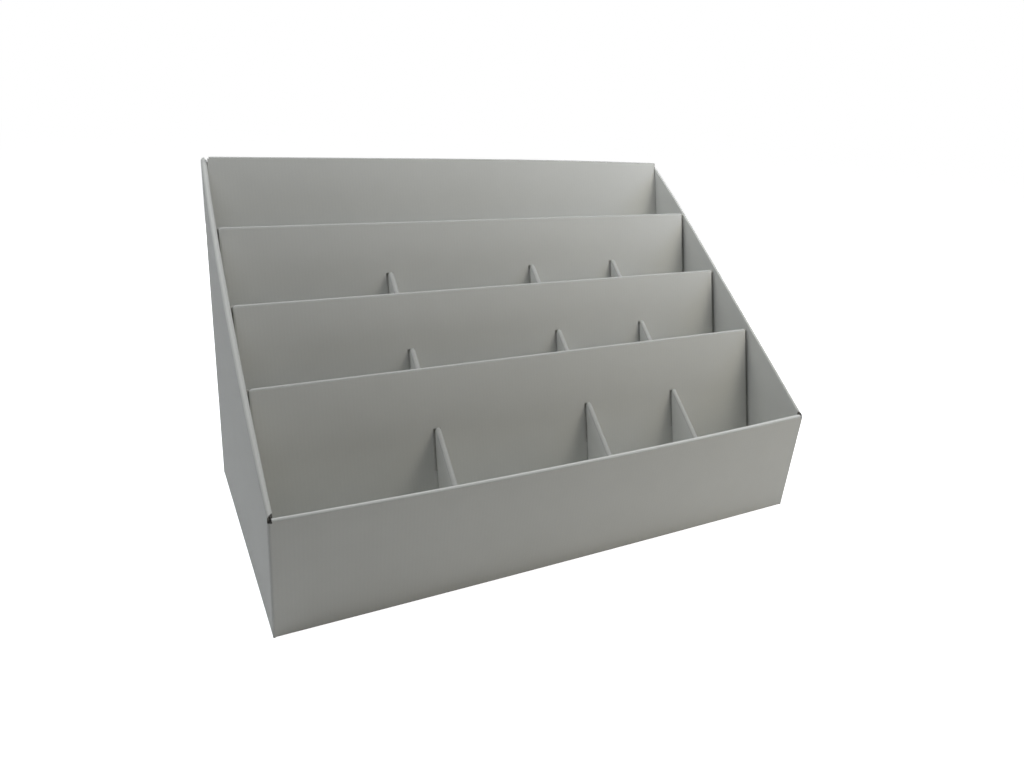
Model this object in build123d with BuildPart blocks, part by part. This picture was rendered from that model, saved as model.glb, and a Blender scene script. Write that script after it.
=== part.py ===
from build123d import *
import os
from math import atan, cos, hypot, sin, tan

os.makedirs("parts", exist_ok=True)

# A counter display stand of folded card. +X runs along its front, -Y is the way it faces and +Z is up.
# The origin is the middle of the space it takes up on the counter. All sizes are in millimetres.

# Driving dimensions
width = 534
foot_depth = 280
front_lean = 12  # the top of the front wall stands this far ahead of its foot
front_height = 106
back_height = 331
board = 1.6  # thickness of the card
wall = 5  # a rolled-over wall: outer ply, gap and inner ply
fold_radius = 1.4  # outside of a fold
base_radius = 1.2  # outside of the folds round the base and up its corners

step_count = 3  # leaning step walls; the liner of the back is the next one
first_step_y = 82  # from the foot of the front wall to the top front fold of the first step
first_step_z = 172
step_rise = 52
step_wall = 4  # a step wall is the sheet folded over on itself
lean = atan(0.24)  # of the step walls, from upright
end_gap = 3  # from each end of the steps to the side wall
corner_radius = 3  # at the ends of a step's top fold
step_fold = 1.8  # outside radius of the two folds along the top of a step
crease = 0.5  # inside radius of a fold that opens upwards

divider_thickness = 5.5
divider_drop = 49  # from the top of a step down to the top of the dividers in front of it
divider_slope = 0.87  # rise over run of a divider's top edge
wide_bay = 153.5
narrow_bay = 99
tongue_height = 38
tongue_start = 2  # below the divider's top
tongue_reach = 2

mitre = 3.2  # how far the outer edge of a side wall's fold stops short of a corner
lip = 34  # of the back's fold, down inside
tab_length = 24  # the tabs of the pocket floors, which go through the sides' inner plies
tab_end = 1  # how far a tab stands past the ply

# Clearances between pieces that are only pushed together
fit = 0.3
slit = 0.6  # between flaps of one sheet that stand edge to edge
same = 0.01  # edges whose lengths differ by less than this are alike

# The steps are evenly spaced, up to the liner against the fold of the back wall.
liner_rise = back_height - fit - first_step_z - step_rise * step_count
liner_y = foot_depth - wall - fit - board / cos(lean) - tan(lean) * liner_rise
step_run = (liner_y - first_step_y) / step_count

# Places that follow from them
front_foot = front_lean - (foot_depth + front_lean) / 2
front_top = front_foot - front_lean
back = front_foot + foot_depth
side_slope = (back_height - front_height) / (back - front_top)
slope_length = hypot(back - front_top, back_height - front_height)
fold_drop = board * hypot(1, side_slope)  # thickness of the card, measured upright under the slope
half_width = width / 2
inner_half = half_width - wall
step_half = inner_half - end_gap

up = Vector(0, sin(lean), cos(lean))  # along a step wall, upwards
ahead = Vector(0, -cos(lean), sin(lean))  # square to it, towards the front


def front_face(height):
    """Y of the front wall's outer face."""
    return front_foot - front_lean * height / front_height


def side_top(y):
    """Height of the side walls' sloping top."""
    return front_height + side_slope * (y - front_top)


def flat(vector):
    """The (Y, Z) of a place, as the sketches on Plane.YZ take it."""
    return (vector.Y, vector.Z)


def step_top(number):
    """The top front fold of a step wall, counted from 0."""
    return Vector(0, front_foot + first_step_y + step_run * number, first_step_z + step_rise * number)


# A pocket's floor is square to the step wall behind it. The first floor rests on the tray's base.
foot_z = board + board * (cos(lean) + sin(lean)) + fit
pocket_depth = (first_step_z - foot_z) / cos(lean)
pocket_room = -(step_top(1) - step_top(0)).dot(ahead) - step_wall
pocket_front = pocket_depth - (step_top(1) - step_top(0)).dot(up)  # height of its front wall

divider_centres = {
    "left": -inner_half + wide_bay + divider_thickness / 2,
    "centre": -inner_half + 2 * wide_bay + 1.5 * divider_thickness,
    "right": -inner_half + 2 * wide_bay + narrow_bay + 2.5 * divider_thickness,
}


def valley(number):
    """The crease between a pocket's floor and the step wall behind it."""
    return step_top(number) - up * pocket_depth


# The tongue of a divider, measured along the step wall from its valley
tongue_top = pocket_depth - (divider_drop + tongue_start) / cos(lean)
tongue_foot = tongue_top - tongue_height / cos(lean)


# Tray -------------------------------------------------------------------------------------------
# One sheet. Each side wall is its outer ply, rolled over along the slope and down again inside.

raised_floors = range(1, step_count + 1)


def floor_tab(number, clearance):
    """Section of the tab at the end of a raised pocket floor."""
    middle = valley(number) + ahead * (pocket_room / 2)
    half = tab_length / 2 + clearance
    top = middle + up * clearance
    bottom = middle - up * (board + clearance)
    return [
        flat(top + ahead * half),
        flat(top - ahead * half),
        flat(bottom - ahead * half),
        flat(bottom + ahead * half),
    ]


with BuildPart() as tray:
    with BuildSketch(Plane.YZ.offset(-half_width)):
        with BuildLine():
            Polyline(
                (front_foot, 0), (back, 0), (back, back_height), (front_top, front_height), close=True
            )
        make_face()
    extrude(amount=wall)
    fillet(tray.edges().filter_by(lambda edge: abs(edge.length - slope_length) < fit), fold_radius)

    # The gap between the plies is open to both corners.
    with BuildSketch(Plane.YZ.offset(-half_width + board)):
        with BuildLine():
            Polyline(
                (front_face(board) + board, board),
                (back - board, board),
                (back - board, side_top(back - board) - fold_drop),
                (front_top + board, side_top(front_top + board) - fold_drop),
                close=True,
            )
        make_face()
    extrude(amount=wall - 2 * board, mode=Mode.SUBTRACT)

    # The fold and the inner ply stop short of the front and back walls, cut at 45 degrees on top.
    with BuildSketch(Plane.XY.offset(board)):
        for corner_y, way in ((front_top + board, 1), (back - board, -1)):
            with BuildLine():
                Polyline(
                    (-half_width + board, corner_y),
                    (-inner_half, corner_y),
                    (-inner_half, corner_y + way * (wall - board + mitre)),
                    (-half_width + board, corner_y + way * mitre),
                    close=True,
                )
            make_face()
    extrude(amount=back_height, mode=Mode.SUBTRACT)

    # Slots for the tabs of the raised floors
    for number in raised_floors:
        with BuildSketch(Plane.YZ.offset(-inner_half - board)):
            with BuildLine():
                Polyline(*floor_tab(number, fit), close=True)
            make_face()
        extrude(amount=board, mode=Mode.SUBTRACT)
    mirror(about=Plane.YZ)

    # Base, and the outer plies of the front and the back from corner to corner
    with BuildSketch(Plane.YZ.offset(-half_width)):
        with BuildLine():
            Polyline((front_foot, 0), (back, 0), (back, board), (front_face(board), board), close=True)
        make_face()
        with BuildLine():
            Polyline(
                (front_foot, 0),
                (front_foot + board, 0),
                (front_top + board, front_height),
                (front_top, front_height),
                close=True,
            )
        make_face()
        with BuildLine():
            Polyline(
                (back, 0),
                (back, back_height),
                (back - board, back_height),
                (back - board, 0),
                close=True,
            )
        make_face()
    extrude(amount=width)

    # Their rolled-over folds and inner plies
    with BuildSketch(Plane.YZ.offset(-inner_half + slit)):
        with BuildLine():
            Polyline(
                (front_top + board, front_height),
                (front_top + wall, front_height),
                (front_face(board) + wall, board),
                (front_face(board) + wall - board, board),
                (front_face(front_height - board) + wall - board, front_height - board),
                (front_face(front_height - board) + board, front_height - board),
                close=True,
            )
        make_face()
        with BuildLine():
            Polyline(
                (back - board, back_height),
                (back - wall, back_height),
                (back - wall, back_height - lip),
                (back - wall + board, back_height - lip),
                (back - wall + board, back_height - board),
                (back - board, back_height - board),
                close=True,
            )
        make_face()
    extrude(amount=2 * (inner_half - slit))

    # The corners of the tray, and the folds round its base
    corner_lengths = (hypot(front_lean, front_height), back_height)
    corners = tray.edges().filter_by(
        lambda edge: abs(edge.center().X) > half_width - fit
        and any(abs(edge.length - length) < same for length in corner_lengths)
    )
    fillet(corners, base_radius)
    fillet(tray.faces().sort_by(Axis.Z)[0].edges(), base_radius)

    # The folds along the front and the back
    long_tops = tray.edges().filter_by(Axis.X).filter_by(lambda edge: edge.length > inner_half)
    fillet(long_tops.filter_by(lambda edge: abs(edge.center().Z - front_height) < fit), fold_radius)
    long_tops = tray.edges().filter_by(Axis.X).filter_by(lambda edge: edge.length > inner_half)
    fillet(long_tops.filter_by(lambda edge: abs(edge.center().Z - back_height) < fit), fold_radius)
tray.part.label = "tray"
export_step(tray.part, "parts/tray.step")


# Step insert ------------------------------------------------------------------------------------
# One pleated sheet: a foot behind the front wall, then floor, step wall up, over and down, floor,
# and so on to the liner, which leans against the lip of the back's fold.

foot_y = front_face(foot_z) + wall + fit + slit
first_floor = (valley(0).Y - foot_y) / cos(lean)  # its length, up to the foot
liner_length = (back_height - fit - valley(step_count).Z) / cos(lean)
tab_reach = end_gap + board + tab_end
slot_width = divider_thickness + 2 * fit


def skin_points():
    """The pocket side of the sheet, from the foot to the top of the liner, with its fold radii."""
    knee = valley(0) + ahead * first_floor
    points = [flat(Vector(0, foot_y, board + fit)), flat(knee)]
    radii = [fold_radius]
    for number in range(step_count):
        top = step_top(number)
        behind = top - ahead * step_wall
        points += [flat(valley(number)), flat(top), flat(behind), flat(behind - up * pocket_front)]
        radii += [crease, step_fold, step_fold, crease]
    points += [flat(valley(step_count)), flat(valley(step_count) + up * liner_length)]
    radii.append(crease)
    return points, radii


def slot_section(number):
    """Section of the slots through the front ply of a step wall, for the dividers' tongues."""
    low = valley(number) + up * (tongue_foot - fit)
    high = valley(number) + up * (tongue_top + fit)
    through = step_wall / 2  # the front ply and half the gap behind it
    return [
        flat(low + ahead * fit),
        flat(high + ahead * fit),
        flat(high - ahead * through),
        flat(low - ahead * through),
    ]


with BuildPart() as step_insert:
    with BuildSketch(Plane.YZ.offset(-step_half)):
        with BuildLine():
            skin, skin_radii = skin_points()
            FilletPolyline(*skin, radius=skin_radii)
            offset(amount=board, side=Side.RIGHT)
        make_face()
    extrude(amount=2 * step_half)
    for number in raised_floors:
        with BuildSketch(Plane.YZ.offset(-step_half - tab_reach)):
            with BuildLine():
                Polyline(*floor_tab(number, 0), close=True)
            make_face()
        extrude(amount=2 * (step_half + tab_reach))
    for number in range(step_count):
        for centre in divider_centres.values():
            with BuildSketch(Plane.YZ.offset(centre - slot_width / 2)):
                with BuildLine():
                    Polyline(*slot_section(number), close=True)
                make_face()
            extrude(amount=slot_width, mode=Mode.SUBTRACT)

        # Both ends of the top fold are cut round.
        with BuildSketch(Plane(origin=step_top(number), x_dir=(1, 0, 0), z_dir=ahead)):
            for side in (-1, 1):
                with BuildLine():
                    top_end = (side * (step_half - corner_radius), 0)
                    Polyline(top_end, (side * step_half, 0), (side * step_half, -corner_radius))
                    RadiusArc((side * step_half, -corner_radius), top_end, -side * corner_radius)
                make_face()
        extrude(amount=step_wall + fit, both=True, mode=Mode.SUBTRACT)
step_insert.part.label = "step_insert"
export_step(step_insert.part, "parts/step_insert.step")


# Dividers ---------------------------------------------------------------------------------------
# Each is one card folded over along its sloping top, with a tongue on each ply at the back.

ramp = Vector(0, 1, divider_slope).normalized()  # along a divider's top, upwards


def divider_peak(row):
    """The upper end of a divider's top edge, just ahead of the step wall."""
    return step_top(row) - up * (divider_drop / cos(lean)) + ahead * fit


def divider_foot_line(row):
    """The front edge of a divider, from its foot to its top."""
    peak = divider_peak(row)
    if row > 0:
        across = pocket_room - 2 * fit
        drop = across * (sin(lean) + divider_slope * cos(lean)) / (cos(lean) - divider_slope * sin(lean))
        low = valley(row) + up * fit + ahead * (pocket_room - fit)
        return low, peak + ahead * across - up * drop
    low = valley(row) + up * fit + ahead * (first_floor - slit)
    inner_foot = front_foot + wall + fit
    high = (peak.Z - divider_slope * (peak.Y - inner_foot)) / (1 + divider_slope * front_lean / front_height)
    return low, Vector(0, front_face(high) + wall + fit, high)


def divider_outline(row):
    """The divider's outline, round from the top of its back edge."""
    low, high = divider_foot_line(row)
    valley_corner = valley(row) + up * fit + ahead * fit
    rear = valley(row) + ahead * fit
    tip = valley(row) - ahead * tongue_reach
    return [
        flat(divider_peak(row)),
        flat(rear + up * tongue_top),
        flat(tip + up * tongue_top),
        flat(tip + up * tongue_foot),
        flat(rear + up * tongue_foot),
        flat(valley_corner),
        flat(low),
        flat(high),
    ]


for row, row_name in enumerate(("front", "second", "third")):
    low, high = divider_foot_line(row)
    peak = divider_peak(row)
    top_length = (peak - high).length
    under = Vector(0, ramp.Z, -ramp.Y) * board  # from the top edge, square into the divider
    beyond = ramp * divider_drop
    for place, centre in divider_centres.items():
        with BuildPart() as divider:
            with BuildSketch(Plane.YZ.offset(centre - divider_thickness / 2)):
                with BuildLine():
                    Polyline(*divider_outline(row), close=True)
                make_face()
            extrude(amount=divider_thickness)
            fillet(divider.edges().filter_by(lambda edge: abs(edge.length - top_length) < same), fold_radius)
            with BuildSketch(Plane.YZ.offset(centre - divider_thickness / 2 + board)):
                with BuildLine():
                    Polyline(
                        flat(peak + beyond + under),
                        flat(high - beyond + under),
                        flat(high - beyond + under - Vector(0, 0, back_height)),
                        flat(peak + beyond + under - Vector(0, 0, back_height)),
                        close=True,
                    )
                make_face()
            extrude(amount=divider_thickness - 2 * board, mode=Mode.SUBTRACT)
        name = f"{row_name}_divider_{place}"
        divider.part.label = name
        export_step(divider.part, f"parts/{name}.step")
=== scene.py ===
"""The looks of a folded card display stand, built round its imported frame."""

import math

import bmesh
import bpy
import numpy as np
from mathutils import Euler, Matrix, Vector

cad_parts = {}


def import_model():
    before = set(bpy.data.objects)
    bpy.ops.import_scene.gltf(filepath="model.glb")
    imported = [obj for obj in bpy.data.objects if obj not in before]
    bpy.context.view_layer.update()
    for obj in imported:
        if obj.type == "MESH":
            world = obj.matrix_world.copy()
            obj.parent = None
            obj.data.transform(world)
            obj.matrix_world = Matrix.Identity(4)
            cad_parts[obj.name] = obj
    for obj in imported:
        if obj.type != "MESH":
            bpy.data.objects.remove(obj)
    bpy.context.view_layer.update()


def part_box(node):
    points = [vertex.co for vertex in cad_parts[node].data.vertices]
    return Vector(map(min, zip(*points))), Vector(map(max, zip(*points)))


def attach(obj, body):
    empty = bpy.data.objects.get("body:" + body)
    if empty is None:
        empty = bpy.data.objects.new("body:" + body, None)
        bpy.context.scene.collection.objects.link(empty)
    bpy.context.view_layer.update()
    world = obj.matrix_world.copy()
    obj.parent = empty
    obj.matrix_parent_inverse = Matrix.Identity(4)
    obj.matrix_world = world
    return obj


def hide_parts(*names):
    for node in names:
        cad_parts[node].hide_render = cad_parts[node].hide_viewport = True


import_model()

# Sizes are in millimetres until a mesh is made.
MM = 0.001
BOARD = 1.6  # the corrugated card
WALL = 5.0  # the rolled-over back and front: outer ply, gap and inner ply
LEFT_WALL = 4.3
RIGHT_WALL = 4.2
LEFT_SWELL = 1.3  # how much thicker the left wall is at the middle of its top
RIGHT_SWELL = 0.2
FOLD = 1.75  # outside radius of a fold
CREASE = 0.5  # inside radius of a fold that opens upwards
CORNER = 1.9  # outside radius of the tray's upright corners

tray_low, tray_high = (np.array(corner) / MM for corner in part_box("tray"))
insert_low, insert_high = (np.array(corner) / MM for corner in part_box("step_insert"))

# The walls bow outwards between their corners, as far as the frame's box.
LEFT_BOW = 3.35
RIGHT_BOW = 0.65
FRONT_BOW = 6.4
FOOT_BOW = 1.2
FRONT_LEAN = 5.5  # of the front wall at its corners
LEFT_NIP = 0.9  # how far the left wall's back corner leans in
BACK_SWELL = 0.85  # share of a side wall's swell that its back end has
BACK_SAG = 3.6  # how much lower the right end of the back's top is
SAG_START = 60.0  # the sag starts this far left of the middle
SAG_DEPTH = 46.0  # and fades out this far below the top
FOOT_DEPTH = 280.0  # from the front's foot to the back
FRONT_HEIGHT = 106.0
left_face = tray_low[0] + LEFT_BOW
right_face = tray_high[0] - RIGHT_BOW
back_face = tray_high[1]
front_foot = back_face - FOOT_DEPTH
back_height = tray_high[2]
front_top = front_foot - FRONT_LEAN
slope = (back_height - FRONT_HEIGHT) / (back_face - front_top)
middle = (left_face + right_face) / 2
half = (right_face - left_face) / 2

# The step walls lean back from their valleys.
STEPS = 3
STEP_WALL = 3.5
STEP_FOLD = 1.7
LEAN = math.atan(0.24)
FIT = 0.3  # gap between two sheets
FIRST_STEP = (82.0, 172.0)  # its top, behind the front's foot and above the floor
STEP_RISE = 52.0
LINER_DROP = 1.3  # from the back's top down to the liner's
STEP_SAG = (0.0, -1.3, 0.9)  # how far each step stands above or below its even place
STEP_SHIFT = (0.0, 0.0, -1.2)  # and behind it
up = np.array([math.sin(LEAN), math.cos(LEAN)])
ahead = np.array([-math.cos(LEAN), math.sin(LEAN)])
first_top = np.array([front_foot + FIRST_STEP[0], FIRST_STEP[1]])
liner_top = back_height - LINER_DROP
liner_run = liner_top - first_top[1] - STEP_RISE * STEPS
liner_face = back_face - WALL - FIT - BOARD / math.cos(LEAN) - math.tan(LEAN) * liner_run
step_run = (liner_face - first_top[0]) / STEPS


def side_top(y):
    """Height of the side walls' sloping top."""
    return FRONT_HEIGHT + slope * (y - front_top)


def side_bow(y, z):
    """How bowed a side wall is, from 0 at its ends and its foot to 1 at the middle of its top."""
    along = np.clip((y - front_top) / (back_face - front_top), 0, 1)
    return 4 * along * (1 - along) * np.clip(z / side_top(y), 0, 1) ** 2


def side_swell(y, z):
    """How much thicker a side wall is, from 0 at its front end to 1 at the middle of its top."""
    along = np.clip((y - front_top) / (back_face - front_top), 0, 1)
    return np.maximum(side_bow(y, z), BACK_SWELL * along**4 * np.clip(z / side_top(y), 0, 1) ** 2)


def left_at(y, z):
    """X of the left wall's outer face."""
    nip = LEFT_NIP * np.clip((y - front_top) / (back_face - front_top), 0, 1) ** 2 * (z / back_height)
    return left_face + nip - LEFT_BOW * side_bow(y, z)


def right_at(y, z):
    """X of the right wall's outer face."""
    return right_face + RIGHT_BOW * side_bow(y, z)


def sagged(grids):
    """Both faces of a sheet, with the tops of the back and its liner sagging towards the right."""
    for grid in grids:
        across = np.clip((grid[:, :, 0] - middle + SAG_START) / (half + SAG_START), 0, 1)
        rise = np.clip((grid[:, :, 2] - back_height + SAG_DEPTH) / SAG_DEPTH, 0, 1)
        grid[:, :, 2] -= BACK_SAG * across**2.5 * rise
    return grids


def front_bulge(x, z):
    """How far the front wall stands ahead of its foot."""
    across = np.clip(1 - ((x - middle) / half) ** 2, 0, 1)
    rise = np.clip(z / FRONT_HEIGHT, 0, 1)
    return FRONT_LEAN * rise + across * (FOOT_BOW + (FRONT_BOW - FOOT_BOW) * rise)


# Folded sheets ---------------------------------------------------------------------------------


ARC_STEPS = 6  # faces round a fold
SHARP_TURN = math.radians(40)  # an edge that turns by more than this is sharp


def add_object(name, data):
    """An object in the scene that shows the given data."""
    made = bpy.data.objects.new(name, data)
    bpy.context.scene.collection.objects.link(made)
    return made


def mark_sharp(bm, turn):
    """Marks an edge as sharp where the card is cut or where it turns by more than an angle."""
    for edge in bm.edges:
        if len(edge.link_faces) == 2:
            first, second = edge.link_faces
            cut = first.material_index != second.material_index
            edge.smooth = not cut and edge.calc_face_angle(0.0) < turn


def spread(length, step):
    """Places along a straight run, with one close to each end so that the painted shade along a fold stays
    narrow.
    """
    near = min(1.0, length / 4)
    count = max(1, math.ceil((length - 2 * near) / step))
    return [0.0, *np.linspace(near, length - near, count + 1), length]


class Section:
    """A sheet's section: points on its show side, the way into the card there, folds and distances."""

    def __init__(self, corners, radii, inward, step=11.0, marks=()):
        corners = [np.array(corner, float) for corner in corners]
        ways = [b - a for a, b in zip(corners, corners[1:])]
        ways = [way / np.linalg.norm(way) for way in ways]
        points, normals, folds, runs = [], [], [], []
        start = corners[0]
        for index, way in enumerate(ways):
            end = corners[index + 1]
            last = index == len(ways) - 1
            turn = 0.0
            if not last:
                cross = way[0] * ways[index + 1][1] - way[1] * ways[index + 1][0]
                turn = math.atan2(cross, float(way @ ways[index + 1]))
                end = end - way * (radii[index] * math.tan(abs(turn) / 2))
            length = float((end - start) @ way)
            places = set(spread(length, step))
            for mark_run, mark in marks:
                if mark_run == index:
                    places.add(float((corners[index] + way * mark - start) @ way))
            for place in sorted(places):
                points.append(start + way * place)
                normals.append(self.turned(way, inward))
                folds.append(0.0)
                runs.append(index)
            if not last:
                hub = end + self.turned(way, math.copysign(1, turn)) * radii[index]
                for arc in range(1, ARC_STEPS):
                    part = turn * arc / ARC_STEPS
                    spun = self.spun(way, part)
                    points.append(hub - self.turned(spun, math.copysign(1, turn)) * radii[index])
                    normals.append(self.turned(spun, inward))
                    folds.append(1.0)
                    runs.append(index + 0.5)
                start = corners[index + 1] + ways[index + 1] * (radii[index] * math.tan(abs(turn) / 2))
        self.points = np.array(points)
        self.normals = np.array(normals)
        self.folds = np.array(folds)
        self.runs = np.array(runs)
        gaps = np.linalg.norm(np.diff(self.points, axis=0), axis=1)
        self.distance = np.concatenate([[0.0], np.cumsum(gaps)])

    @staticmethod
    def turned(way, side):
        """A quarter turn to the left of a way, or to the right if side is negative."""
        return np.array([-way[1], way[0]]) * side

    @staticmethod
    def spun(way, angle):
        """A way turned to the left by an angle."""
        cosine, sine = math.cos(angle), math.sin(angle)
        return np.array([way[0] * cosine - way[1] * sine, way[0] * sine + way[1] * cosine])

    def faces(self, thickness):
        """The two faces of the sheet."""
        return self.points, self.points + self.normals * thickness


def stretched(value, reference, height, keep):
    """A height moved from a reference section to another one, whose ends stay as they are."""
    between = keep + (value - keep) * (height - 2 * keep) / (reference - 2 * keep)
    upper = np.where(value > reference - keep, value + height - reference, between)
    return np.where(value < keep, value, upper)


class Card:
    """Gathers thick sheets into one mesh, with a UV map along and across its flutes."""

    BESIDE = ((0, -1), (1, 0), (0, 1), (-1, 0))  # the cells beside each edge of a grid's cell

    def __init__(self):
        self.bm = bmesh.new()
        self.uv = self.bm.loops.layers.uv.new("sheet")
        # how folded the card is at each point, for the shade painted along the folds
        self.fold = self.bm.verts.layers.float.new("fold")

    def face(self, verts, uvs, material):
        """One face, of the liner if the material is 0 and of a cut edge if it is 1."""
        found = self.bm.faces.new(verts)
        found.material_index = material
        found.smooth = material == 0
        for loop, uv in zip(found.loops, uvs):
            loop[self.uv].uv = uv

    def sheet(self, show, hidden, folds, across_flutes, along_flutes, holes=()):
        """A sheet between two grids of points. Rows follow its section and columns its length."""
        rows, columns = show.shape[:2]
        grids = []
        for grid in (show, hidden):
            grids.append([[self.bm.verts.new(point * MM) for point in row] for row in grid])
        for grid in grids:
            for row, fold in zip(grid, folds):
                for vert in row:
                    vert[self.fold] = fold
        cut = np.zeros((rows - 1, columns - 1), bool)
        for row_low, row_high, column_low, column_high in holes:
            cut[row_low:row_high, column_low:column_high] = True
        u = np.asarray(across_flutes, float) * MM
        v = np.asarray(along_flutes, float) * MM
        thick = BOARD * MM
        for row in range(rows - 1):
            for column in range(columns - 1):
                if cut[row, column]:
                    continue
                ring = [(row, column), (row + 1, column), (row + 1, column + 1), (row, column + 1)]
                uvs = [(u[r, c], v[r, c]) for r, c in ring]
                self.face([grids[0][r][c] for r, c in ring], uvs, 0)
                self.face([grids[1][r][c] for r, c in reversed(ring)], uvs[::-1], 0)
                for k, (next_row, next_column) in enumerate(self.BESIDE):
                    beside = (row + next_row, column + next_column)
                    inside = 0 <= beside[0] < rows - 1 and 0 <= beside[1] < columns - 1
                    if inside and not cut[beside]:
                        continue
                    a, b = ring[k], ring[(k + 1) % 4]
                    verts = [grids[side][r][c] for side, (r, c) in ((0, b), (0, a), (1, a), (1, b))]
                    if next_row:
                        rim = [(u[b], 0), (u[a], 0), (u[a], thick), (u[b], thick)]
                    else:
                        rim = [(0, v[b]), (0, v[a]), (0, v[a]), (0, v[b])]
                    self.face(verts, rim, 1)

    def finish(self, name, materials):
        """The object, with sharp edges where the card is cut or turns sharply."""
        bmesh.ops.recalc_face_normals(self.bm, faces=self.bm.faces)
        mark_sharp(self.bm, SHARP_TURN)
        mesh = bpy.data.meshes.new(name)
        self.bm.to_mesh(mesh)
        self.bm.free()
        piece = add_object(name, mesh)
        for material in materials:
            mesh.materials.append(material)
        return piece


# Tray --------------------------------------------------------------------------------------------

LIP = 34.0  # of the back's fold, down inside
STRIP_LEFT = 3.1  # from the left side's outer face to the end of the front's fold
STRIP_RIGHT = 3.7  # the same at the right
LIP_LEFT = 7.3  # from the left side's outer face to the end of the back's fold
LIP_RIGHT = 2.1  # the same at the right
FRONT_NOTCH = 2.7  # how far the front corners are cut down below the folds
BACK_NOTCH = 5.0  # the same at the back
MITRE = 0.68  # a side's fold is cut this much further back for each millimetre in
FRONT_PINCH = 1.5  # how much thinner the front's fold is at its left end
END_ROUND = 3.5  # length of the rounding at the back end of a side's fold
END_DIP = 0.2  # how deep that rounding is, as a share of its length
LEFT_END = 0.3  # from the back face to the left fold's end
RIGHT_END = 5.6  # the same at the right
LEFT_FOLD = 1.65  # outside radius of the folds along the left side's top
RIGHT_FOLD = 1.9  # the same at the right
INNER_CUT = 0.6  # how much shorter the front's inner ply is at each end
INNER_SETBACK = 0.2  # least gap between a side's inner ply and the back's upright fold
NOTCH_RAMP = 0.3  # height over which a notch's edge steps in
NOTCH_SLACK = 0.1  # so that a row at a notch's foot counts as in it
SIDE_SECTION = 200.0  # height of the section that a side wall is stretched from
BASE_BLEND = 60.0  # the base's bulge fades out this far behind the front's foot
END_KEEP = 8.0  # this much of a side's top and foot keeps its shape where the wall is lower
RIGHT_TILT = 1.3  # how far the right fold's outer edge dips below its inner edge


def long_sheet(card):
    """Lip, back, base, front and the front's inner ply, in one run from back to front."""
    corners = [
        (back_face - WALL, back_height - LIP),
        (back_face - WALL, back_height),
        (back_face, back_height),
        (back_face, 0),
        (front_foot, 0),
        (front_top, FRONT_HEIGHT),
        (front_top + WALL, FRONT_HEIGHT),
        (front_foot + WALL, BOARD + FIT),
    ]
    front_length = math.hypot(FRONT_LEAN, FRONT_HEIGHT)
    front_cut = front_length - FRONT_NOTCH
    marks = [(2, BACK_NOTCH), (2, BACK_NOTCH + NOTCH_RAMP), (4, front_cut), (4, front_cut - NOTCH_RAMP)]
    section = Section(corners, [FOLD] * 6, inward=-1, marks=marks)
    stations = np.linspace(0, 1, 49)
    over = section.runs
    height = section.points[:, 1]
    back_top = (over <= 1.5) | ((over == 2) & (height > back_height - BACK_NOTCH - NOTCH_SLACK))
    front_edge = (over >= 4.5) | ((over == 4) & (height > FRONT_HEIGHT - FRONT_NOTCH - NOTCH_SLACK))
    left_starts = np.where(back_top, LIP_LEFT, np.where(front_edge, STRIP_LEFT, CORNER))
    right_starts = np.where(back_top, LIP_RIGHT, np.where(front_edge, STRIP_RIGHT, CORNER))
    left_starts[over >= 6] += INNER_CUT
    right_starts[over >= 6] += INNER_CUT
    grids = []
    for face in section.faces(BOARD):
        y = face[:, 0][:, None] * np.ones_like(stations)
        z = face[:, 1][:, None] * np.ones_like(stations)
        low = left_at(y, z) + left_starts[:, None]
        high = right_at(y, z) - right_starts[:, None]
        x = low + (high - low) * stations
        rolled = np.clip((face[:, 0] - section.points[over == 5][0][0]) / (WALL - FOLD), 0, 1)
        rolled = np.where(over >= 5, rolled, 0)[:, None]
        y = y - FRONT_PINCH * rolled * (1 - stations) ** 1.5
        reach = np.clip((front_foot + BASE_BLEND - y) / BASE_BLEND, 0, 1)
        reach = reach * reach * (3 - 2 * reach)
        y = y - (front_bulge(x, z) - FRONT_LEAN * np.clip(z / FRONT_HEIGHT, 0, 1)) * reach
        grids.append(np.stack([x, y, z], axis=2))
    x = grids[0][:, :, 0]
    along = section.distance[:, None] * np.ones_like(stations)
    card.sheet(*sagged(grids), section.folds, x, along)


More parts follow.
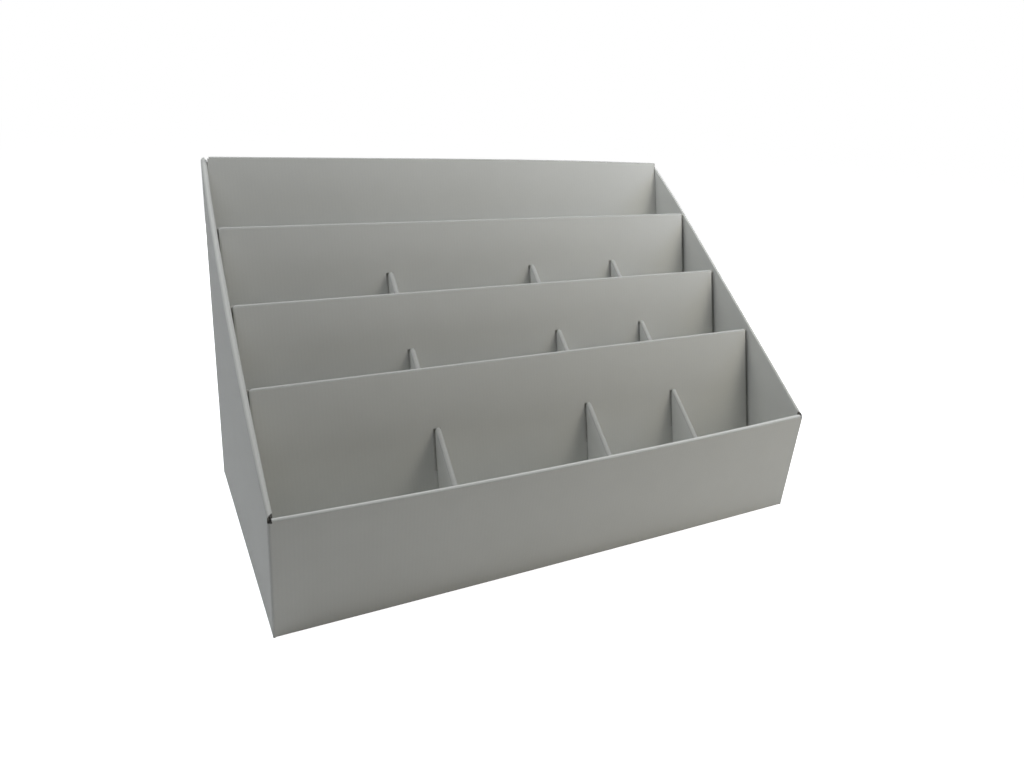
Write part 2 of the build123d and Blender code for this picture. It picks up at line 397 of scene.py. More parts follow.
def side_sheet(card, face_at, inwards, wall, swell, fold, tilt, back_end):
    """A side wall rolled over along its slope, with its ends cut on the skew. Its inner ply bows less
    than its outer one, and its fold may dip outwards."""
    reference = SIDE_SECTION
    corners = [(wall, BOARD + FIT), (wall, reference), (0, reference), (0, 0), (CORNER, 0)]
    section = Section(corners, [fold, fold, FOLD], inward=1)
    stations = np.linspace(0, 1, 45)
    over = section.runs
    grids = []
    for face in section.faces(BOARD):
        depth, height = face[:, 0], face[:, 1]
        skew = np.clip(depth, 0, WALL) * MITRE
        start = np.where(over < 2, CORNER + skew, CORNER)
        share = np.where(over < 2, np.clip(depth / FOLD, 0, 1), 0)
        ply_end = np.where(over < 1, max(back_end, CORNER + INNER_SETBACK), back_end)
        end = CORNER + (ply_end - CORNER) * share
        y = np.zeros((len(depth), len(stations)))
        z = np.zeros_like(y)
        for _ in range(3):
            lean = FRONT_LEAN * np.clip(z[:, :1] / FRONT_HEIGHT, 0, 1)
            first = front_foot - lean + start[:, None]
            last = back_face - end[:, None]
            y = first + (last - first) * stations
            z = stretched(height[:, None], reference, side_top(y), END_KEEP)
        inner = np.clip(depth / wall, 0, 1)[:, None]
        x = face_at(y, z) + inwards * (depth[:, None] + swell * inner * side_swell(y, z))
        upper = np.clip((height[:, None] - reference + END_KEEP) / END_KEEP, 0, 1)
        z = z - tilt * (1 - inner) * upper
        near = np.clip((y - last) / END_ROUND + 1, 0, 1)
        dip = END_ROUND * END_DIP * (1 - np.sqrt(1 - near**2))
        z = z - np.where(height[:, None] > reference - 3 * FOLD, dip, 0)
        grids.append(np.stack([x, y, z], axis=2))
    y = grids[0][:, :, 1]
    round_section = np.abs(section.distance - section.distance[over == 3][0])[:, None]
    card.sheet(*sagged(grids), section.folds, round_section * np.ones_like(stations), y)


def corner_sheet(card, face_at, inwards, front):
    """The upright fold at a corner, cut down at its top."""
    top = FRONT_HEIGHT - FRONT_NOTCH if front else back_height - BACK_NOTCH
    heights = np.linspace(0, top, 25)
    turns = np.linspace(0, math.pi / 2, 7)
    grids = []
    for radius in (CORNER, CORNER - BOARD):
        rows = []
        for turn in turns:
            z = heights
            outwards = front_foot - FRONT_LEAN * z / FRONT_HEIGHT if front else np.full_like(z, back_face)
            way = 1 if front else -1
            y = outwards + way * (CORNER - radius * math.cos(turn))
            x = face_at(outwards, z) + inwards * (CORNER - radius * math.sin(turn))
            rows.append(np.stack([x, y, z], axis=1))
        grids.append(np.array(rows))
    arc = (turns * CORNER)[:, None] * np.ones_like(heights)
    # how folded each row round the corner is, for the shade painted along the folds
    folds = np.sin(turns * 2)
    card.sheet(*sagged(grids), folds, arc, heights[None, :] * np.ones_like(arc))


def make_tray(materials):
    """The long sheet, both sides and their four upright corners."""
    card = Card()
    long_sheet(card)
    sides = (
        (left_at, 1, LEFT_WALL, LEFT_SWELL, LEFT_FOLD, 0.0, LEFT_END),
        (right_at, -1, RIGHT_WALL, RIGHT_SWELL, RIGHT_FOLD, RIGHT_TILT, RIGHT_END),
    )
    for face_at, inwards, *shape in sides:
        side_sheet(card, face_at, inwards, *shape)
        for front in (True, False):
            corner_sheet(card, face_at, inwards, front)
    return card.finish("tray_sheet", materials)


# Step insert -------------------------------------------------------------------------------------

foot_z = BOARD + BOARD * (math.cos(LEAN) + math.sin(LEAN)) + FIT
pocket_depth = (first_top[1] - foot_z) / math.cos(LEAN)
even_step = np.array([step_run, STEP_RISE])
pocket_room = float(-even_step @ ahead) - STEP_WALL
foot_y = front_foot + WALL + 2 * FIT

DIVIDER = 5.5  # thickness
DIVIDER_FIT = 0.6  # gap at a divider's front and back
TIP_FIT = 1.15  # the same at its tip, where the fold's inner face leans back
SLOT_LEFT = 1.3  # how much wider than the divider its slot is, on the left
SLOT_HEIGHT = 38.0
SLOT_BELOW = 1.5  # from the divider's top down to the slot's
STEP_INSET_LEFT = 5.5  # from the end of the insert's box to the step walls'
STEP_INSET_RIGHT = 5.8  # the same at the right
STEP_GAP = 0.3  # least gap between the steps' ends and the side walls
LINER_GAP = 1.2  # how far the liner's top right corner stands off the side wall
LINER_GAP_REACH = 24.0  # how far down that goes
STEP_ROUND = 3.0  # radius at the ends of a step's top
STEP_TURN = 2.2  # width of the crushed ends of a step wall
STEP_TURN_DEPTH = 0.8
STEP_SPRING = 7.0  # how far a step's back ply springs away from its front ply at its ends
SPRING_REACH = 16.0  # how far in from the ends it does so
SPRING_START = 2.0  # how far below the step's top that starts
SPRING_FADE = 5.0  # over what height it grows
SPRING_FOOT = 60.0  # and over what height above the floor it fades out
END_FLAT = 8.0  # how far in from the ends the evenly spread places start
END_COLUMNS = 5  # places across each crushed end
ROW_SLACK = 0.01  # so that a row on a slot's edge counts as in it
step_left = insert_low[0] + STEP_INSET_LEFT
step_right = insert_high[0] - STEP_INSET_RIGHT

# Left face of each divider, and how far its top is below the step's.
divider_faces = {
    "left": (-106.9, -107.9, -107.4),
    "centre": (50.6, 51.0, 50.4),
    "right": (154.7, 155.1, 154.5),
}
divider_drops = {
    "left": (51.5, 49.5, 46.0),
    "centre": (50.2, 46.3, 47.2),
    "right": (50.4, 46.5, 47.4),
}


def step_top(number):
    """The top front fold of a step wall."""
    moved = np.array([STEP_SHIFT[number], STEP_SAG[number]]) if number < STEPS else 0
    return first_top + even_step * number + moved


def valley(number):
    """The crease between a pocket's floor and the step wall behind it."""
    return first_top + even_step * number - up * pocket_depth


def step_ends(y, z, number, wider):
    """Where the pleated card ends on the left and on the right, with the corners of a step's top
    rounded. The ply behind a step wall and the liner are wider, and reach closer to the sides."""
    swell = side_swell(y, z)
    left = left_at(y, z) + LEFT_WALL + LEFT_SWELL * swell + STEP_GAP
    right = right_at(y, z) - RIGHT_WALL - RIGHT_SWELL * swell - STEP_GAP
    if not wider:
        left = np.maximum(step_left, left)
        right = np.minimum(step_right, right)
    if number is None:
        right = right - LINER_GAP * np.clip(1 - (liner_top - z) / LINER_GAP_REACH, 0, 1)
    else:
        below = (step_top(number) - np.stack([y, z], axis=-1)) @ up
        below = np.clip(below, 0, STEP_ROUND)
        inset = STEP_ROUND - np.sqrt(STEP_ROUND**2 - (STEP_ROUND - below) ** 2)
        left = left + inset
        right = right - inset
    return left, right


def step_section():
    """The section of the pleated sheet, and the runs of each step, of the fronts and of the backs."""
    knee = valley(0) + ahead * ((foot_y - valley(0)[0]) / ahead[0])
    corners = [(foot_y, BOARD + FIT), knee]
    radii = [FOLD]
    marks = []
    run_step = {}
    front_runs, back_runs = set(), set()
    for number in range(STEPS):
        top = step_top(number)
        riser = 2 + 4 * number
        length = float(np.linalg.norm(top - valley(number)))
        for drops in divider_drops.values():
            slot_top = length - drops[number] / math.cos(LEAN) - SLOT_BELOW
            marks += [(riser, slot_top), (riser, slot_top - SLOT_HEIGHT)]
        corners += [valley(number), top, top - ahead * STEP_WALL, valley(number + 1) + ahead * pocket_room]
        radii += [CREASE, STEP_FOLD, STEP_FOLD, CREASE]
        for run in (riser, riser + 0.5, riser + 1, riser + 1.5, riser + 2):
            run_step[run] = number
        front_runs |= {riser, riser + 0.5}
        back_runs |= {riser + 1.5, riser + 2}
    top_of_liner = valley(STEPS) + up * ((liner_top - valley(STEPS)[1]) / math.cos(LEAN))
    corners += [valley(STEPS), top_of_liner]
    radii.append(CREASE)
    return Section(corners, radii, inward=-1, marks=marks), run_step, front_runs, back_runs


def step_stations():
    """Places across the pleated sheet, with the slots' edges. Those at its ends depend on the height."""
    places = set(np.linspace(step_left + END_FLAT, step_right - END_FLAT, 41))
    for faces in divider_faces.values():
        for left in faces:
            places |= {left - SLOT_LEFT, left + DIVIDER + FIT}
    ends = [np.nan] * END_COLUMNS
    return np.array([*ends, *sorted(places), *ends])


def step_grid(face, section, stations, run_step, front_runs, back_runs):
    """One face of the pleated sheet, with its ends crushed and the plies behind sprung away."""
    turns = np.linspace(0, 1, END_COLUMNS) * STEP_TURN
    crushed = STEP_TURN_DEPTH * (1 - turns / STEP_TURN) ** 2
    y, z = face[:, 0], face[:, 1]
    x = np.tile(stations, (len(y), 1))
    for row, run in enumerate(section.runs):
        wider = run in back_runs or run == section.runs[-1]
        left, right = step_ends(y[row], z[row], run_step.get(run), wider)
        x[row, :END_COLUMNS] = left + turns
        x[row, -END_COLUMNS:] = right - turns[::-1]
    wide = np.ones_like(x)
    points = np.stack([x, y[:, None] * wide, z[:, None] * wide], axis=2)
    from_end = np.minimum(x[0] - x[0, 0], x[0, -1] - x[0])
    sprung = STEP_SPRING * np.clip(1 - (from_end / SPRING_REACH), 0, 1) ** 2
    for row, run in enumerate(section.runs):
        if run in back_runs:
            below = float((step_top(run_step[run]) - np.array([y[row], z[row]])) @ up)
            apart = sprung * min(1.0, max(0.0, below - SPRING_START) / SPRING_FADE)
            apart *= min(1.0, max(0.0, pocket_depth - below) / SPRING_FOOT)
            points[row, :, 1] -= apart * ahead[0]
            points[row, :, 2] -= apart * ahead[1]
        if run in front_runs:
            away = np.array([0, *(-ahead)])
            points[row, :END_COLUMNS] += crushed[:, None] * away
            points[row, -END_COLUMNS:] += crushed[::-1, None] * away
    return points


def slot_holes(section, stations):
    """Rows and columns of the slots that the dividers stand in front of."""
    holes = []
    for number in range(STEPS):
        below = (step_top(number) - section.points) @ up
        riser = np.isclose(section.runs, 2 + 4 * number)
        for place, faces in divider_faces.items():
            high = divider_drops[place][number] / math.cos(LEAN) + SLOT_BELOW
            inside = (below > high - ROW_SLACK) & (below < high + SLOT_HEIGHT + ROW_SLACK)
            rows = np.where(riser & inside)[0]
            column_low = int(np.nanargmin(np.abs(stations - (faces[number] - SLOT_LEFT))))
            column_high = int(np.nanargmin(np.abs(stations - (faces[number] + DIVIDER + FIT))))
            holes.append((rows[0], rows[-1], column_low, column_high))
    return holes


def make_steps(materials):
    """Foot, floors, step walls and liner, pleated from one sheet."""
    section, *runs = step_section()
    stations = step_stations()
    grids = [step_grid(face, section, stations, *runs) for face in section.faces(BOARD)]
    x = grids[0][:, :, 0]
    along = section.distance[:, None] * np.ones_like(x)
    card = Card()
    card.sheet(*sagged(grids), section.folds, x, along, slot_holes(section, stations))
    return card.finish("step_sheet", materials)


# Dividers ----------------------------------------------------------------------------------------

CORNER_NAMES = ("Front Foot", "Front Top", "Back Foot", "Back Top")
DIVIDER_SIZES = {
    "Thickness": DIVIDER,
    "Board": BOARD,
    "Fold Height": 2.4,
    "Fold Thickness": 5.1,
    "Spread Height": 6.0,  # how far below the fold the left ply has sprung all the way
    "Blunt": 0.9,  # how far the back end of the fold dips
}
DIVIDER_GRID = {"Across": 53, "Stations": 61}
TOP_FALL = 0.87  # how steeply a divider's top falls towards the front
FOOT_GAP = 0.8  # between a front divider's foot and the front wall
OVER = 0.3  # share of the grid's width that goes over the fold
FOLD_MARK = 0.98  # share of that which is marked as folded
BLUNT_POWER = 14.0  # how close to the back end that dip stays
SPREAD_POWER = 0.7  # below 1, so that the left ply springs away fastest at the fold

def add_node(tree, kind, inputs=None, **settings):
    """A node with its settings made and its inputs set or linked."""
    made = tree.nodes.new(kind)
    for key, value in settings.items():
        setattr(made, key, value)
    for key, value in (inputs or {}).items():
        if isinstance(value, bpy.types.NodeSocket):
            tree.links.new(value, made.inputs[key])
        else:
            made.inputs[key].default_value = value
    return made


def number_node(tree, operation, first, second=0.0, third=0.0):
    """The result of a sum on numbers."""
    inputs = {0: first, 1: second, 2: third}
    return add_node(tree, "ShaderNodeMath", inputs, operation=operation).outputs[0]


def vector_node(tree, operation, first, second=None, scale=None):
    """The result of a sum on vectors or colours."""
    inputs = {0: first}
    if second is not None:
        inputs[1] = second
    if scale is not None:
        inputs["Scale"] = scale
    made = add_node(tree, "ShaderNodeVectorMath", inputs, operation=operation)
    return made.outputs["Value" if operation == "LENGTH" else "Vector"]


def folded_card_tree():
    """Geometry nodes for a card folded over along its top edge: a flat grid is wrapped over the fold,
    stretched between four corners and given its thickness."""
    tree = bpy.data.node_groups.new("folded_card", "GeometryNodeTree")
    face = tree.interface
    face.new_socket("Geometry", in_out="OUTPUT", socket_type="NodeSocketGeometry")
    for name in CORNER_NAMES:
        face.new_socket(name, in_out="INPUT", socket_type="NodeSocketVector")
    for name in DIVIDER_SIZES:
        face.new_socket(name, in_out="INPUT", socket_type="NodeSocketFloat")
    for name in DIVIDER_GRID:
        face.new_socket(name, in_out="INPUT", socket_type="NodeSocketInt")
    for name in ("Liner", "Cut Edge"):
        face.new_socket(name, in_out="INPUT", socket_type="NodeSocketMaterial")
    given = tree.nodes.new("NodeGroupInput").outputs

    grid = add_node(
        tree,
        "GeometryNodeMeshGrid",
        {"Size X": 2.0, "Size Y": 1.0, "Vertices X": given["Across"], "Vertices Y": given["Stations"]},
    )
    place = add_node(
        tree, "ShaderNodeSeparateXYZ", {0: tree.nodes.new("GeometryNodeInputPosition").outputs[0]}
    ).outputs
    side = number_node(tree, "SIGN", place[0])
    out = number_node(tree, "ABSOLUTE", place[0])
    along = number_node(tree, "ADD", place[1], 0.5)

    # The middle part of the grid goes over the fold, and the rest hangs down both plies.
    turn = number_node(tree, "MULTIPLY", number_node(tree, "DIVIDE", out, OVER), math.pi / 2)
    turn = number_node(tree, "MINIMUM", turn, math.pi / 2)
    hanging = number_node(tree, "DIVIDE", number_node(tree, "SUBTRACT", 1.0, out), 1 - OVER)
    hanging = number_node(tree, "MINIMUM", hanging, 1.0)

    def between(first, last):
        reach = vector_node(tree, "SUBTRACT", given[last], given[first])
        return vector_node(tree, "ADD", given[first], vector_node(tree, "SCALE", reach, scale=along))

    foot = between("Front Foot", "Back Foot")
    rise = vector_node(tree, "SUBTRACT", between("Front Top", "Back Top"), foot)
    height = vector_node(tree, "LENGTH", rise)
    shoulder = number_node(tree, "SUBTRACT", height, given["Fold Height"])
    level = number_node(tree, "MULTIPLY", shoulder, hanging)
    arch = number_node(tree, "MULTIPLY", number_node(tree, "COSINE", turn), given["Fold Height"])
    level = number_node(tree, "ADD", level, arch)
    upright = vector_node(tree, "NORMALIZE", rise)
    blunt = number_node(tree, "POWER", along, BLUNT_POWER)
    blunt = number_node(tree, "MULTIPLY", number_node(tree, "MULTIPLY", blunt, given["Blunt"]), hanging)
    level = number_node(tree, "SUBTRACT", level, blunt)
    spot = vector_node(tree, "ADD", foot, vector_node(tree, "SCALE", upright, scale=level))

    # The right ply hangs straight, and the left one springs away from it below the fold.
    half_fold = number_node(tree, "MULTIPLY", given["Fold Thickness"], 0.5)
    half_board = number_node(tree, "MULTIPLY", given["Thickness"], 0.5)
    sideways = number_node(tree, "MULTIPLY", number_node(tree, "SINE", turn), half_fold)
    sideways = number_node(tree, "MULTIPLY", sideways, side)
    sideways = number_node(tree, "ADD", sideways, number_node(tree, "SUBTRACT", half_board, half_fold))
    drop = number_node(tree, "SUBTRACT", shoulder, level)
    drop = number_node(tree, "DIVIDE", number_node(tree, "MAXIMUM", drop, 0.0), given["Spread Height"])
    drop = number_node(tree, "POWER", number_node(tree, "MINIMUM", drop, 1.0), SPREAD_POWER)
    sprung = number_node(tree, "SUBTRACT", given["Thickness"], given["Fold Thickness"])
    sprung = number_node(tree, "MULTIPLY", sprung, drop)
    left_ply = number_node(tree, "LESS_THAN", side, 0.0)
    sprung = number_node(tree, "MULTIPLY", sprung, left_ply)
    offset = number_node(tree, "SUBTRACT", sideways, sprung)
    offset = add_node(tree, "ShaderNodeCombineXYZ", {0: offset}).outputs[0]
    spot = vector_node(tree, "ADD", spot, offset)

    # The fold, along which shade is painted, is marked while the grid is still flat.
    folded = number_node(tree, "LESS_THAN", out, OVER * FOLD_MARK)
    marked_fold = add_node(
        tree,
        "GeometryNodeStoreNamedAttribute",
        {"Geometry": grid.outputs["Mesh"], "Name": "fold", "Value": folded},
        data_type="FLOAT",
        domain="POINT",
    )
    wrapped = add_node(
        tree, "GeometryNodeSetPosition", {"Geometry": marked_fold.outputs[0], "Position": spot}
    )
    at = add_node(
        tree, "ShaderNodeSeparateXYZ", {0: tree.nodes.new("GeometryNodeInputPosition").outputs[0]}
    ).outputs
    layout = add_node(tree, "ShaderNodeCombineXYZ", {0: at[1], 1: at[2]}).outputs[0]
    mapped = add_node(
        tree,
        "GeometryNodeStoreNamedAttribute",
        {"Geometry": wrapped.outputs[0], "Name": "sheet", "Value": layout},
        data_type="FLOAT2",
        domain="CORNER",
    )
    smooth = add_node(tree, "GeometryNodeSetShadeSmooth", {"Geometry": mapped.outputs[0]})
    inner = number_node(tree, "MULTIPLY", given["Board"], -1.0)
    thick = add_node(
        tree,
        "GeometryNodeExtrudeMesh",
        {"Mesh": smooth.outputs[0], "Offset Scale": inner, "Individual": False},
        mode="FACES",
    )
    flat = add_node(
        tree,
        "GeometryNodeSetShadeSmooth",
        {"Geometry": thick.outputs["Mesh"], "Selection": thick.outputs["Side"], "Shade Smooth": False},
    )
    marked = tree.nodes.new("GeometryNodeCaptureAttribute")
    marked.domain = "FACE"
    marked.capture_items.new("BOOLEAN", "Cut")
    tree.links.new(flat.outputs[0], marked.inputs["Geometry"])
    tree.links.new(thick.outputs["Side"], marked.inputs["Cut"])
    turned = add_node(tree, "GeometryNodeFlipFaces", {"Mesh": marked.outputs["Geometry"]})
    both = tree.nodes.new("GeometryNodeJoinGeometry")
    tree.links.new(turned.outputs[0], both.inputs[0])
    tree.links.new(smooth.outputs[0], both.inputs[0])
    merged = add_node(tree, "GeometryNodeMergeByDistance", {"Geometry": both.outputs[0], "Distance": 1e-6})
    real = add_node(tree, "GeometryNodeRealizeInstances", {"Geometry": merged.outputs[0]})
    lined = add_node(
        tree, "GeometryNodeSetMaterial", {"Geometry": real.outputs[0], "Material": given["Liner"]}
    )
    edged = add_node(
        tree,
        "GeometryNodeSetMaterial",
        {"Geometry": lined.outputs[0], "Selection": marked.outputs["Cut"], "Material": given["Cut Edge"]},
    )
    result = tree.nodes.new("NodeGroupOutput")
    tree.links.new(edged.outputs[0], result.inputs["Geometry"])
    return tree


def divider_corners(number, place):
    """Front foot, front top, back foot and back top of a divider's middle plane."""
    x = divider_faces[place][number] + DIVIDER / 2
    peak = step_top(number) - up * (divider_drops[place][number] / math.cos(LEAN)) + ahead * TIP_FIT
    back_foot = valley(number) + up * FIT + ahead * DIVIDER_FIT
    if number == 0:
        inner = front_foot + WALL + DIVIDER_FIT
        high = peak[1]
        for _ in range(20):
            wall_y = inner - front_bulge(x, high)
            high = peak[1] - TOP_FALL * (peak[0] - wall_y)
        front_high = np.array([wall_y, high])
        low_y = inner - front_bulge(x, 0) + FOOT_GAP
        front_low = valley(0) + up * FIT + ahead * ((low_y - valley(0)[0]) / ahead[0])
    else:
        room = pocket_room - 2 * DIVIDER_FIT
        front_low = back_foot + ahead * room
        room = float((peak - front_low) @ -ahead)
        fall = math.tan(LEAN + math.atan(TOP_FALL))
        front_high = peak + ahead * room - up * (room * fall)
    ordered = (front_low, front_high, back_foot, peak)
    return [Vector((x, corner[0], corner[1])) * MM for corner in ordered]


def make_divider(tree, name, corners, materials):
    """One divider, evaluated from the tree into a plain mesh."""
    start = add_object(name + "_start", bpy.data.meshes.new(name + "_start"))
    modifier = start.modifiers.new("folded_card", "NODES")
    modifier.node_group = tree
    values = {label: size * MM for label, size in DIVIDER_SIZES.items()}
    values |= DIVIDER_GRID | dict(zip(CORNER_NAMES, corners))
    values |= {"Liner": materials[0], "Cut Edge": materials[1]}
    for item in tree.interface.items_tree:
        if item.in_out == "INPUT":
            modifier[item.identifier] = values[item.name]
    graph = bpy.context.evaluated_depsgraph_get()
    mesh = bpy.data.meshes.new_from_object(start.evaluated_get(graph))
    bpy.data.objects.remove(start)
    mesh.name = name
    bm = bmesh.new()
    bm.from_mesh(mesh)
    bmesh.ops.recalc_face_normals(bm, faces=bm.faces)
    mark_sharp(bm, math.inf)
    bm.to_mesh(mesh)
    bm.free()
    return add_object(name, mesh)


# Materials ---------------------------------------------------------------------------------------

FLUTE_PITCH = 3.3  # from one ridge of the corrugations to the next
WANDER = 2.0  # how far the flutes wander sideways
PAINTED_RIDGE_SHADE = 0.012  # how much darker the card is between its ridges: painted shade in the troughs
MEDIUM_WAVE = 0.55  # half the height of the medium's waves
MEDIUM = 0.18  # half the thickness of the line drawn for it
PAINTED_FLUTE_SHADE = -0.25  # painted shade of the open flutes, added to the edge's tone beside that line, the liners' cut edges included


def shader_group(name, inputs, outputs):
    """A node group with its sockets made. An input without a value is a vector."""
    tree = bpy.data.node_groups.new(name, "ShaderNodeTree")
    for label, value in inputs.items():
        kind = "NodeSocketVector" if value is None else "NodeSocketFloat"
        socket = tree.interface.new_socket(label, in_out="INPUT", socket_type=kind)
        if value is not None:
            socket.default_value = value
    for label in outputs:
        tree.interface.new_socket(label, in_out="OUTPUT", socket_type="NodeSocketFloat")
    return tree, tree.nodes.new("NodeGroupInput").outputs, tree.nodes.new("NodeGroupOutput").inputs


def paper_group():
    """Fibre and cloudiness of an uncoated paper liner, from a place in metres."""
    inputs = {"Place": None, "Fibre Size": 0.0009, "Cloud Size": 0.035, "Fibre": 0.03, "Cloud": 0.03}
    tree, given, result = shader_group("paper", inputs, ("Tone", "Height"))

    def grain(size, detail, roughness):
        scale = number_node(tree, "DIVIDE", 1.0, size)
        inputs = {"Vector": given["Place"], "Scale": scale, "Detail": detail, "Roughness": roughness}
        return add_node(tree, "ShaderNodeTexNoise", inputs).outputs[0]

    fine = grain(given["Fibre Size"], 3.0, 0.6)
    cloudy = grain(given["Cloud Size"], 4.0, 0.55)
    broad = grain(number_node(tree, "MULTIPLY", given["Cloud Size"], 4.5), 2.0, 0.5)
    tone = number_node(tree, "MULTIPLY", number_node(tree, "SUBTRACT", fine, 0.5), given["Fibre"])
    clouds = number_node(tree, "ADD", number_node(tree, "SUBTRACT", cloudy, 0.5), broad)
    clouds = number_node(tree, "MULTIPLY", number_node(tree, "SUBTRACT", clouds, 0.5), given["Cloud"])
    tone = number_node(tree, "ADD", number_node(tree, "ADD", tone, clouds), 1.0)
    tree.links.new(tone, result["Tone"])
    tree.links.new(fine, result["Height"])
    return tree


def flute_group():
    """The faint ridges that the corrugations press into the liner, across the sheet's flutes."""
    inputs = {"Across": 0.0, "Pitch": FLUTE_PITCH * MM, "Wander": 0.0}
    tree, given, result = shader_group("flutes", inputs, ("Ridge",))
    turns = number_node(tree, "ADD", given["Across"], given["Wander"])
    turns = number_node(tree, "DIVIDE", turns, given["Pitch"])
    wave = number_node(tree, "SINE", number_node(tree, "MULTIPLY", turns, 2 * math.pi))
    tree.links.new(number_node(tree, "MULTIPLY_ADD", wave, 0.5, 0.5), result["Ridge"])
    return tree


def painted_fold_shade_group():
    """Painted shade along the card's folds: how much lighter the card is there, or darker with a negative
    strength.
    """
    inputs = {"Fold": 0.0, "Patchiness": 0.5, "Strength": 0.1}
    tree, given, result = shader_group("painted_fold_shade", inputs, ("Gain",))
    shade = number_node(tree, "MULTIPLY", given["Fold"], given["Strength"])
    patch = number_node(tree, "MULTIPLY_ADD", given["Patchiness"], 0.8, 0.6)
    tree.links.new(number_node(tree, "MULTIPLY_ADD", shade, patch, 1.0), result["Gain"])
    return tree


def tinted(tree, colour, *gains):
    """A colour multiplied by values over the surface."""
    mix = colour
    for gain in gains:
        mix = vector_node(tree, "SCALE", mix, scale=gain)
    return mix


def start_finish(name, colour, groups, grain):
    """A new material with its shader, and its place, paper grain, layout on the sheet and colour."""
    material = bpy.data.materials.new(name)
    material.use_nodes = True
    tree = material.node_tree
    place = add_node(tree, "ShaderNodeTexCoord").outputs["Object"]
    paper = add_node(tree, "ShaderNodeGroup", {"Place": place, **grain}, node_tree=groups["paper"])
    layout = add_node(tree, "ShaderNodeUVMap", uv_map="sheet")
    layout = add_node(tree, "ShaderNodeSeparateXYZ", {0: layout.outputs[0]})
    base = add_node(tree, "ShaderNodeRGB")
    base.outputs[0].default_value = (*colour, 1)
    return material, place, paper.outputs, layout.outputs, base.outputs[0]


def card_material(name, colour, groups, painted_fold_shade_strength):
    """The paper liner of the card."""
    grain = {"Fibre Size": 0.0008, "Cloud Size": 0.03, "Fibre": 0.05, "Cloud": 0.05}
    material, place, paper, layout, base = start_finish(name, colour, groups, grain)
    tree = material.node_tree
    shader = tree.nodes["Principled BSDF"].inputs
    shader["Specular IOR Level"].default_value = 0.32
    shader["Sheen Weight"].default_value = 0.08
    wander = add_node(tree, "ShaderNodeTexNoise", {"Vector": place, "Scale": 9.0, "Detail": 1.0})
    wander = number_node(tree, "MULTIPLY", wander.outputs[0], WANDER * MM)
    inputs = {"Across": layout[0], "Wander": wander}
    ridge = add_node(tree, "ShaderNodeGroup", inputs, node_tree=groups["flutes"]).outputs["Ridge"]
    # painted shade: the liner is darkened along its folds by the fold strength
    fold = add_node(tree, "ShaderNodeAttribute", attribute_name="fold").outputs["Fac"]
    inputs = {"Fold": fold, "Patchiness": paper["Height"], "Strength": painted_fold_shade_strength}
    gain = add_node(tree, "ShaderNodeGroup", inputs, node_tree=groups["painted_fold_shade"]).outputs["Gain"]
    # painted shade: the liner darkens between the flutes' ridges
    ridge_painted_shade = number_node(tree, "MULTIPLY_ADD", ridge, PAINTED_RIDGE_SHADE, 1 - PAINTED_RIDGE_SHADE / 2)
    tree.links.new(tinted(tree, base, paper["Tone"], gain, ridge_painted_shade), shader["Base Color"])
    rough = number_node(tree, "MULTIPLY_ADD", paper["Height"], 0.14, 0.75)
    tree.links.new(rough, shader["Roughness"])
    height = number_node(tree, "MULTIPLY_ADD", ridge, 0.5, paper["Height"])
    bump = add_node(tree, "ShaderNodeBump", {"Strength": 0.22, "Distance": 0.00006, "Height": height})
    tree.links.new(bump.outputs[0], shader["Normal"])
    return material


def edge_material(name, colour, groups):
    """A cut edge of the card, with the wavy medium drawn as a lighter line and everything beside it
    darker, as painted shade of the open flutes.
    """
    grain = {"Fibre Size": 0.0005, "Fibre": 0.25}
    material, _, paper, layout, base = start_finish(name, colour, groups, grain)
    tree = material.node_tree
    shader = tree.nodes["Principled BSDF"].inputs
    shader["Roughness"].default_value = 0.95
    shader["Specular IOR Level"].default_value = 0.2
    phase = number_node(tree, "MULTIPLY", layout[0], 2 * math.pi / (FLUTE_PITCH * MM))
    wave = number_node(tree, "SINE", phase)
    medium = number_node(tree, "MULTIPLY_ADD", wave, MEDIUM_WAVE * MM, BOARD * MM / 2)
    off = number_node(tree, "ABSOLUTE", number_node(tree, "SUBTRACT", layout[1], medium))
    # painted shade: the edge is darker wherever it is off the medium's line
    beside = number_node(tree, "LESS_THAN", MEDIUM * MM, off)
    shade = number_node(tree, "MULTIPLY_ADD", beside, PAINTED_FLUTE_SHADE, 1.0)
    tree.links.new(tinted(tree, base, paper["Tone"], shade), shader["Base Color"])
    inputs = {"Strength": 0.4, "Distance": 0.0002, "Height": paper["Height"]}
    bump = add_node(tree, "ShaderNodeBump", inputs)
    tree.links.new(bump.outputs[0], shader["Normal"])
    return material


# Pieces ------------------------------------------------------------------------------------------

groups = {"paper": paper_group(), "flutes": flute_group(), "painted_fold_shade": painted_fold_shade_group()}
card_grey = (0.60, 0.60, 0.566)
edge_grey = (0.56, 0.55, 0.51)
# painted shade: the tray's cut edges are near black so that its corner notches look deep
painted_shade_edge_grey = (0.20, 0.195, 0.18)


def card_finish(name, painted_fold_shade_strength, edge_colour):
    """The liner and the cut edge of one kind of piece."""
    liner = card_material(name + "_liner", card_grey, groups, painted_fold_shade_strength)
    return [liner, edge_material(name + "_cut_edge", edge_colour, groups)]


# the negative fold strengths are painted shade along the folds
tray_finish = card_finish("tray", -0.12, painted_shade_edge_grey)
step_finish = card_finish("step", -0.2, edge_grey)
divider_finish = card_finish("divider", -0.25, edge_grey)


def place_piece(piece, node):
    """Fixes a piece to the root in place of a node of the frame."""
    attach(piece, "root")
    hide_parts(node)


place_piece(make_tray(tray_finish), "tray")
place_piece(make_steps(step_finish), "step_insert")
tree = folded_card_tree()
for number, row in enumerate(("front", "second", "third")):
    for place in divider_faces:
        name = f"{row}_divider_{place}"
        piece = make_divider(tree, name + "_card", divider_corners(number, place), divider_finish)
        place_piece(piece, name)


# Floor, light and camera -------------------------------------------------------------------------

FLOOR_REACH = 6.0  # in metres
FLOOR_GLOW = 0.98  # seen by the camera only, so that the floor's own shade hardly shows
ROOM_LIGHT = 0.02
LIGHT_AIM = Vector((0, 0, 0.12))


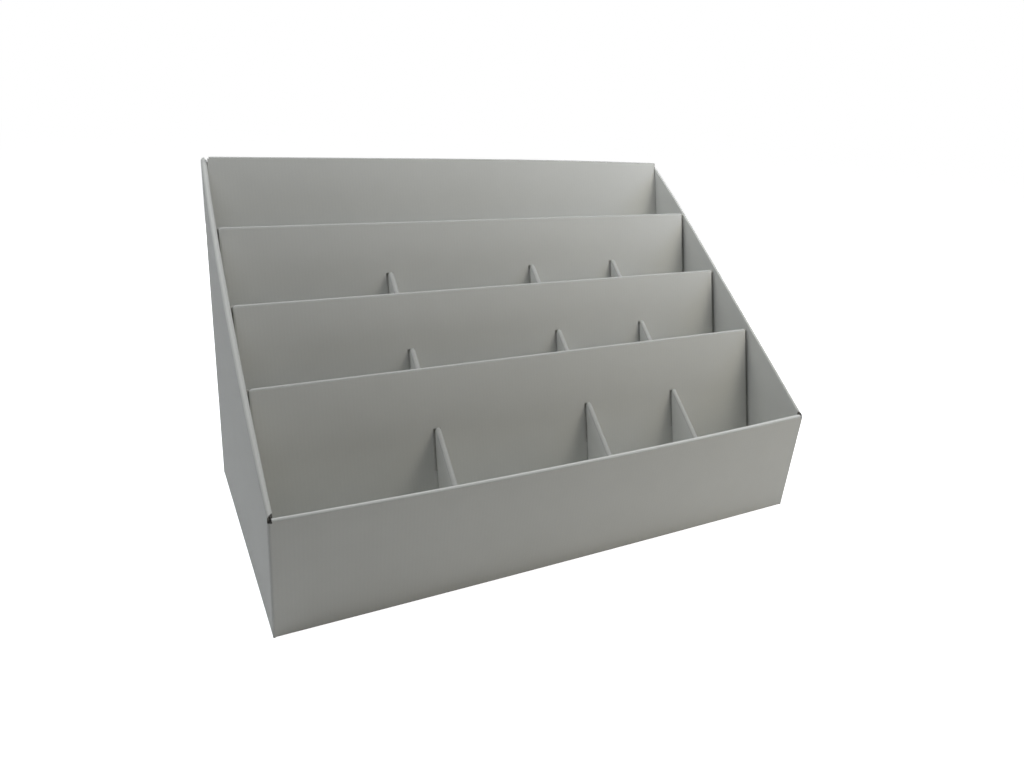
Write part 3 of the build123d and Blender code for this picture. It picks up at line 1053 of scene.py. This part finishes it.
def floor():
    """A wide floor that looks nearly white."""
    mesh = bpy.data.meshes.new("floor")
    reach = FLOOR_REACH
    corners = [(-reach, -reach, 0), (reach, -reach, 0), (reach, reach, 0), (-reach, reach, 0)]
    mesh.from_pydata(corners, [], [(0, 1, 2, 3)])
    material = bpy.data.materials.new("floor_paper")
    material.use_nodes = True
    tree = material.node_tree
    shader = tree.nodes["Principled BSDF"]
    shader.inputs["Base Color"].default_value = (0.93, 0.93, 0.93, 1)
    shader.inputs["Roughness"].default_value = 0.9
    shader.inputs["Specular IOR Level"].default_value = 0.1
    shader.inputs["Emission Color"].default_value = (1, 1, 1, 1)
    path = add_node(tree, "ShaderNodeLightPath")
    glow = number_node(tree, "MULTIPLY", path.outputs["Is Camera Ray"], FLOOR_GLOW)
    tree.links.new(glow, shader.inputs["Emission Strength"])
    mesh.materials.append(material)
    made = add_object("floor", mesh)


def area_light(name, place, size, power, colour):
    """A rectangular lamp, aimed at the stand."""
    data = bpy.data.lights.new(name, "AREA")
    data.shape = "RECTANGLE"
    data.size, data.size_y = size
    data.energy = power
    data.color = colour
    lamp = add_object(name, data)
    lamp.location = place
    lamp.rotation_euler = (LIGHT_AIM - Vector(place)).to_track_quat("-Z", "Y").to_euler()


def world():
    """A dim room that looks white to the camera."""
    made = bpy.data.worlds.new("studio")
    bpy.context.scene.world = made
    made.use_nodes = True
    tree = made.node_tree
    tree.nodes["Background"].inputs["Color"].default_value = (1, 1, 1, 1)
    tree.nodes["Background"].inputs["Strength"].default_value = ROOM_LIGHT
    seen = add_node(tree, "ShaderNodeBackground", {"Color": (1, 1, 1, 1), "Strength": 1.0})
    path = add_node(tree, "ShaderNodeLightPath")
    mix = add_node(tree, "ShaderNodeMixShader", {0: path.outputs["Is Camera Ray"]})
    tree.links.new(tree.nodes["Background"].outputs[0], mix.inputs[1])
    tree.links.new(seen.outputs[0], mix.inputs[2])
    tree.links.new(mix.outputs[0], tree.nodes["World Output"].inputs["Surface"])


def camera():
    """The camera of the main view."""
    data = bpy.data.cameras.new("camera")
    data.lens = 25.9
    data.shift_x = 0.0226
    data.shift_y = -0.0352
    data.clip_start = 0.01
    made = add_object("camera", data)
    made.location = (-0.3332, -0.6089, 0.3986)
    made.rotation_euler = Euler([math.radians(angle) for angle in (70.993, -2.702, -25.950)])
    bpy.context.scene.camera = made


floor()
world()
area_light("overhead_panel", (-0.5, 0.1, 1.3), (1.0, 1.0), 11.1, (0.965, 1.0, 1.05))
area_light("front_overhead", (0.5, -0.25, 0.7), (0.4, 0.4), 2.35, (1.0, 1.0, 0.97))
area_light("right_fill", (0.75, -0.1, 0.5), (0.3, 0.3), 1.15, (0.85, 0.94, 1.18))
area_light("front_right_fill", (0.6, -0.8, 0.35), (0.5, 0.5), 0.7, (1.12, 1.0, 0.76))
area_light("back_fill", (0.0, 1.7, 0.3), (1.2, 0.4), 5.5, (1.0, 1.0, 1.0))
camera()
bpy.context.scene.view_settings.view_transform = "Standard"
